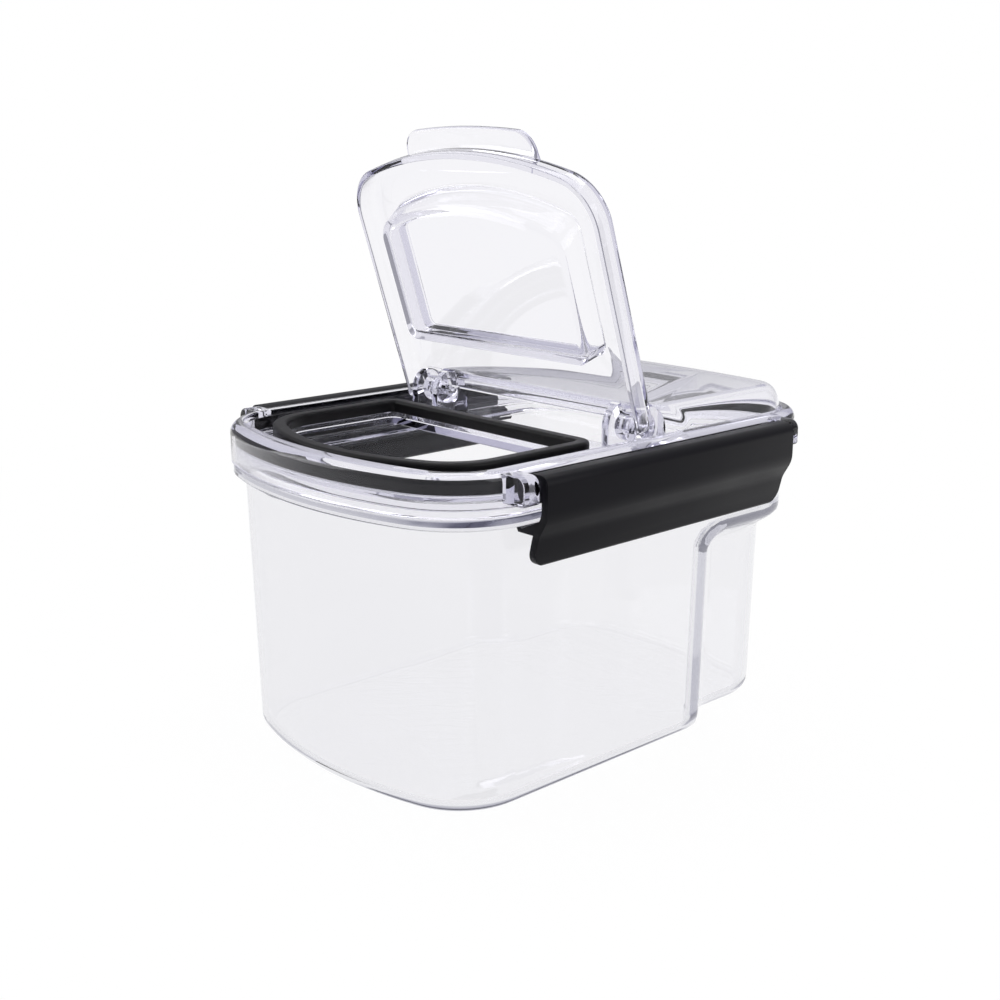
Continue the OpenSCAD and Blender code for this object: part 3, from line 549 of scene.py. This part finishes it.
floor_top = UNDER - PLUG + PAN_FLOOR
cover = drawn_up("clear_spout_cover", (
    [plug(PLUG_FLAT, UNDER - PLUG)]
    + edge(plug, 0, UNDER - PLUG, PLUG_R, DOWN, 6)
    + [plug(-PLUG_COVE * a, UNDER - PLUG_COVE * b) for a, b in ((0, 1), (0.3, 0.3), (1, 0))]
    + [cover_plan(SKIRT + SKIRT_RIB * a, UNDER - SKIRT_RIB * b, SKIRT_TAIL)
       for a, b in ((1, 0), (0.3, 0.3), (0, 1))]
    + [cover_plan(SKIRT - a, LIP + b, SKIRT_TAIL + a)
       for a, b in arc(SKIRT_R, SKIRT_R, SKIRT_R, OUT, DOWN, 3)]
    + edge(cover_plan, 0, LIP, SKIRT_R, DOWN, 3)
    + [cover_plan(a, TOP - COVER_FLATTEN * b)
       for a, b in arc(COVER_ROUND, COVER_ROUND, COVER_ROUND, OUT, DOWN, 10)]
    + bend(pan, SKIRT, TOP - PAN_BEAD, PAN_BEAD, OUT, UP, 4)
    + [pan(PAN_IN, floor_top + PAN_R)]
    + bend(pan, PAN_IN + PAN_R, floor_top + PAN_R, PAN_R, OUT + 15, DOWN, 5)
    + [pan(PAN_FLAT, floor_top)]))
half_tab = [(TAB_W + TAB_FLARE, -TAB_ROOT)]
half_tab += [(x, -y) for x, y in bowed_end(TAB_W, TAB_L, TAB_CORNER, TAB_BOW)]
tab = half_tab + [(-x, y) for x, y in reversed(half_tab[:-1])]
worked(cover, "UNION", prism("tab", tab, TOP - TAB_UNDER, TOP - TAB_DROP, 0.55))

# the tail is notched for the lugs, with cutters that pass just beyond the faces they follow
CLEAR = 0.02
cuts = [box("cut", (-HINGE_END - PLAY - CLEAR, -NOTCH - CLEAR, LIP - TAIL),
            (HINGE_END + PLAY + CLEAR, TAIL, UNDER + CLEAR)),
        box("cut", (-LUG_X, -TAIL, -TAIL), (LUG_X, TAIL, 2 * TAIL))]
arms, bores = [], []
for side in (-1, 1):
    low, high = sorted((side * (LUG_X - PLAY), side * (HINGE_END + PLAY)))
    cuts.append(box("cut", (low, -NOTCH, -TAIL), (high, 2 * TAIL, 2 * TAIL)))
    start = min(side * HOLE_X, side * (HOLE_X + KNUCKLE))
    arms.append(rod("knuckle", (start, 0, 0), (1, 0, 0), KNUCKLE_R, KNUCKLE, round_end=0.35))
    arms.append(box("arm", (start, -NOTCH - BITE, UNDER), (start + KNUCKLE, 0, TOP)))
    bores.append(rod("bore", (start - OVERCUT, 0, 0), (1, 0, 0), PIN_R + BORE_PLAY,
                     KNUCKLE + 2 * OVERCUT, sides=48))
worked(cover, "DIFFERENCE", *cuts)
worked(cover, "UNION", *arms)
worked(cover, "DIFFERENCE", *bores)
cover.location, cover.rotation_euler = HINGE * MM, (math.radians(-OPEN), 0, 0)
bpy.ops.object.select_all(action="DESELECT")
cover.select_set(True)
bpy.context.view_layer.objects.active = cover
bpy.ops.object.transform_apply()
smoothed(cover)
cover.data.materials.append(clear_cap)
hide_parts("spout_cover")
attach(cover, "cover")

# ---- Latches ----
# A long black plastic plate at each side, moulded with a bore at each end that
# snaps over the ears' pivots, and with a hook inside that catches the collar.
FACE, PLATE, BARREL_R, SHOULDER = 5.0, 2.4, 4.0, 3.0
BEND, FLARE, BEND_Z, BEND_R, STEP = 31.0, 12.0, -5.5, 8.0, 3.0
FOOT_Z, FOOT_R, FACE_TOP, BORE_L = 74.0, 4.6, 101, 6.6
HOOK_IN, HOOK_T, HOOK_RISE, FACE_NEAR, FACE_FAR = 1.9, 1.2, 3.1, 50, 80
bend_a, flare_a, foot = math.radians(BEND), math.radians(FLARE), FOOT_Z - PIVOT_Z

# the section, about the pivot: round the barrel, over the shoulder, down the face to the foot and back up
step = Vector((FACE - BEND_R + BEND_R * math.cos(bend_a), BEND_Z - BEND_R * math.sin(bend_a)))
step -= STEP * Vector((math.sin(bend_a), math.cos(bend_a)))
dip = step + BEND_R * Vector((math.cos(bend_a), -math.sin(bend_a)))
toe = dip + BEND_R * Vector((-math.cos(flare_a), math.sin(flare_a)))
toe_x = toe.x - (toe.y - foot) * math.tan(flare_a)
barrel_start = 360 - math.degrees(math.acos((FACE - PLATE) / BARREL_R))
latch_section = (
    arc(0, 0, BARREL_R, barrel_start, 90, 40)
    + arc(FACE - SHOULDER, BARREL_R - SHOULDER, SHOULDER, 90, 0, 12)
    + arc(FACE - BEND_R, BEND_Z, BEND_R, 0, -BEND, 10)
    + arc(dip.x, dip.y, BEND_R, 180 - BEND, 180 - FLARE, 8)
    + arc(toe_x - PLATE / 2, foot + PLATE / 2, PLATE / 2, 0, -180, 14)
    + arc(dip.x, dip.y, BEND_R + PLATE, 180 - FLARE, 180 - BEND, 8)
    + arc(FACE - BEND_R, BEND_Z, BEND_R - PLATE, -BEND, 0, 10))
collar_x, hook_z = HALF_W - COLLAR_IN - PIVOT_X, COLLAR_Z - PLAY - PIVOT_Z
hook_section = [
    (collar_x - HOOK_IN, hook_z), (collar_x + BITE, hook_z), (step.x - BITE, hook_z + HOOK_RISE),
    (step.x - PLATE / 2, hook_z - HOOK_T), (collar_x - HOOK_IN + HOOK_T / 2, hook_z - HOOK_T)]
latch_face = ([(LATCH_HALF, FACE_TOP), (-LATCH_HALF, FACE_TOP)]
              + arc(FOOT_R - LATCH_HALF, FOOT_Z + FOOT_R, FOOT_R, 180, 270, 16)
              + arc(LATCH_HALF - FOOT_R, FOOT_Z + FOOT_R, FOOT_R, 270, 360, 16))


def along_latch(name, side, section):
    """A bar of a section about the pivot, as long as the latch."""
    return drawn_up(name, [[(side * (PIVOT_X + x), y, PIVOT_Z + z) for x, z in section]
                           for y in (-LATCH_HALF, LATCH_HALF)])


def satin(name, colour):
    """Satin black plastic with the fine spark-eroded grain of its mould."""
    material = bpy.data.materials.new(name)
    material.use_nodes = True
    tree = material.node_tree
    shader = tree.nodes["Principled BSDF"]
    shader.inputs["Specular IOR Level"].default_value = 0.115
    place = tree.nodes.new("ShaderNodeTexCoord")
    grain = tree.nodes.new("ShaderNodeTexNoise")
    grain.inputs["Scale"].default_value = 2600
    grain.inputs["Detail"].default_value = 3
    wear = tree.nodes.new("ShaderNodeTexNoise")
    wear.inputs["Scale"].default_value = 60
    wear.inputs["Detail"].default_value = 5
    spread = tree.nodes.new("ShaderNodeMapRange")
    spread.inputs["To Min"].default_value = 0.3
    spread.inputs["To Max"].default_value = 0.46
    tone = tree.nodes.new("ShaderNodeValToRGB")
    tone.color_ramp.elements[0].color = (*(c * 0.85 for c in colour), 1)
    tone.color_ramp.elements[1].color = (*(c * 1.2 for c in colour), 1)
    bump = tree.nodes.new("ShaderNodeBump")
    bump.inputs["Strength"].default_value = 0.12
    bump.inputs["Distance"].default_value = 0.0001
    link = tree.links.new
    for texture in (grain, wear):
        link(place.outputs["Object"], texture.inputs["Vector"])
    link(wear.outputs["Fac"], spread.inputs["Value"])
    link(wear.outputs["Fac"], tone.inputs["Fac"])
    link(tone.outputs["Color"], shader.inputs["Base Color"])
    link(spread.outputs["Result"], shader.inputs["Roughness"])
    link(grain.outputs["Fac"], bump.inputs["Height"])
    link(bump.outputs["Normal"], shader.inputs["Normal"])
    return material


black_plastic = satin("satin_black_plastic", (0.0028, 0.0026, 0.0044))
for name, side in (("left", -1), ("right", 1)):
    latch = along_latch(f"latch_{name}_plate", side, latch_section)
    worked(latch, "UNION", along_latch("hook", side, hook_section))
    worked(latch, "INTERSECT", drawn_up("face", [[(side * x, y, z) for y, z in latch_face]
                                                 for x in (FACE_NEAR, FACE_FAR)]))
    for end in (-1, 1):
        worked(latch, "DIFFERENCE", rod("bore", (side * PIVOT_X, end * (LATCH_HALF + OVERCUT), PIVOT_Z),
                                        (0, -end, 0), PIVOT_R + BORE_PLAY, BORE_L, sides=40))
    rounded(latch, 0.4)
    smoothed(latch)
    latch.data.materials.append(black_plastic)
    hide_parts(f"latch_{name}")
    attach(latch, f"{name}_latch")

# ---- Studio ----
# A plain white floor and surround, soft lamps above and at both sides, and the
# camera in front of the spout's right corner.
bpy.ops.object.select_all(action="DESELECT")
bpy.ops.mesh.primitive_plane_add(size=8)
floor = bpy.context.active_object
floor.name = "floor"


def highest(tree, *values):
    """A node tree's socket that holds the highest of some values."""
    held = values[0]
    for value in values[1:]:
        top = tree.nodes.new("ShaderNodeMath")
        top.operation = "MAXIMUM"
        tree.links.new(held, top.inputs[0])
        tree.links.new(value, top.inputs[1])
        held = top.outputs["Value"]
    return held


# the floor shows plain white, but for a faint shadow close round the container
floor_white = bpy.data.materials.new("floor_white")
floor_white.use_nodes = True
tree = floor_white.node_tree
tree.nodes.clear()
out = tree.nodes.new("ShaderNodeOutputMaterial")
matt = tree.nodes.new("ShaderNodeBsdfDiffuse")
matt.inputs["Color"].default_value = (0.9, 0.9, 0.9, 1)
plain = tree.nodes.new("ShaderNodeEmission")
plain.inputs["Color"].default_value = (1, 1, 1, 1)
rays = tree.nodes.new("ShaderNodeLightPath")
place = tree.nodes.new("ShaderNodeTexCoord")
away = tree.nodes.new("ShaderNodeVectorMath")
away.operation = "LENGTH"
fade = tree.nodes.new("ShaderNodeMapRange")
fade.inputs["From Min"].default_value = 0.1
fade.inputs["From Max"].default_value = 0.45
fade.inputs["To Min"].default_value = 0.95
share = tree.nodes.new("ShaderNodeMath")
share.operation = "MULTIPLY"
mix = tree.nodes.new("ShaderNodeMixShader")
seen = highest(tree, *(rays.outputs[f"Is {kind} Ray"] for kind in ("Camera", "Glossy", "Transmission")))
link = tree.links.new
link(place.outputs["Object"], away.inputs[0])
link(away.outputs["Value"], fade.inputs["Value"])
link(seen, share.inputs[0])
link(fade.outputs["Result"], share.inputs[1])
link(share.outputs["Value"], mix.inputs["Fac"])
link(matt.outputs["BSDF"], mix.inputs[1])
link(plain.outputs["Emission"], mix.inputs[2])
link(mix.outputs["Shader"], out.inputs["Surface"])
floor.data.materials.append(floor_white)

# the camera and what is seen through the plastic find white, and reflections find a
# studio that is darker at the sides than overhead, which draws the plastic's edges
world = bpy.data.worlds.new("surround")
bpy.context.scene.world = world
world.use_nodes = True
tree = world.node_tree
tree.nodes.clear()
out = tree.nodes.new("ShaderNodeOutputWorld")
light = tree.nodes.new("ShaderNodeBackground")
light.inputs["Color"].default_value = (0.97, 0.98, 1, 1)
light.inputs["Strength"].default_value = 0.55
white = tree.nodes.new("ShaderNodeBackground")
white.inputs["Color"].default_value = (1, 1, 1, 1)
mirrored = tree.nodes.new("ShaderNodeBackground")
rays = tree.nodes.new("ShaderNodeLightPath")
place = tree.nodes.new("ShaderNodeTexCoord")
parts = tree.nodes.new("ShaderNodeSeparateXYZ")
studio = tree.nodes.new("ShaderNodeValToRGB")
studio.color_ramp.elements[0].position = 0.15
studio.color_ramp.elements[0].color = (0.4, 0.4, 0.43, 1)
studio.color_ramp.elements[1].position = 0.8
studio.color_ramp.elements[1].color = (0.9, 0.9, 0.92, 1)
lit = tree.nodes.new("ShaderNodeMixShader")
shown = tree.nodes.new("ShaderNodeMixShader")
link = tree.links.new
link(place.outputs["Generated"], parts.inputs["Vector"])
link(parts.outputs["Z"], studio.inputs["Fac"])
link(studio.outputs["Color"], mirrored.inputs["Color"])
link(rays.outputs["Is Glossy Ray"], lit.inputs["Fac"])
link(light.outputs["Background"], lit.inputs[1])
link(mirrored.outputs["Background"], lit.inputs[2])
seen = highest(tree, rays.outputs["Is Camera Ray"], rays.outputs["Is Transmission Ray"])
link(seen, shown.inputs["Fac"])
link(lit.outputs["Shader"], shown.inputs[1])
link(white.outputs["Background"], shown.inputs[2])
link(shown.outputs["Shader"], out.inputs["Surface"])

AIM = Vector((0, 0, 0.08))
for name, at, size, power in (("lamp_above", (-0.1, 0.1, 1.1), 0.9, 6.0),
                              ("lamp_left", (-0.9, -0.8, 0.6), 0.7, 4.5),
                              ("lamp_right", (1.1, 0.2, 0.6), 0.7, 5.0)):
    bpy.ops.object.light_add(type="AREA", location=at)
    lamp = bpy.context.active_object
    lamp.name = name
    lamp.data.shape, lamp.data.size, lamp.data.energy = "SQUARE", size, power
    lamp.rotation_euler = (AIM - Vector(at)).to_track_quat("-Z", "Y").to_euler()

CAMERA_AT, LOOK_DOWN, TURN, LENS, SENSOR = (0.32521, -0.30211, 0.18610), 14.48, 47.65, 51.12, 36
bpy.ops.object.camera_add(location=CAMERA_AT,
                          rotation=(math.radians(90 - LOOK_DOWN), 0, math.radians(TURN)))
camera = bpy.context.active_object
camera.data.lens, camera.data.sensor_width = LENS, SENSOR
bpy.context.scene.camera = camera
bpy.context.scene.view_settings.view_transform = "Standard"
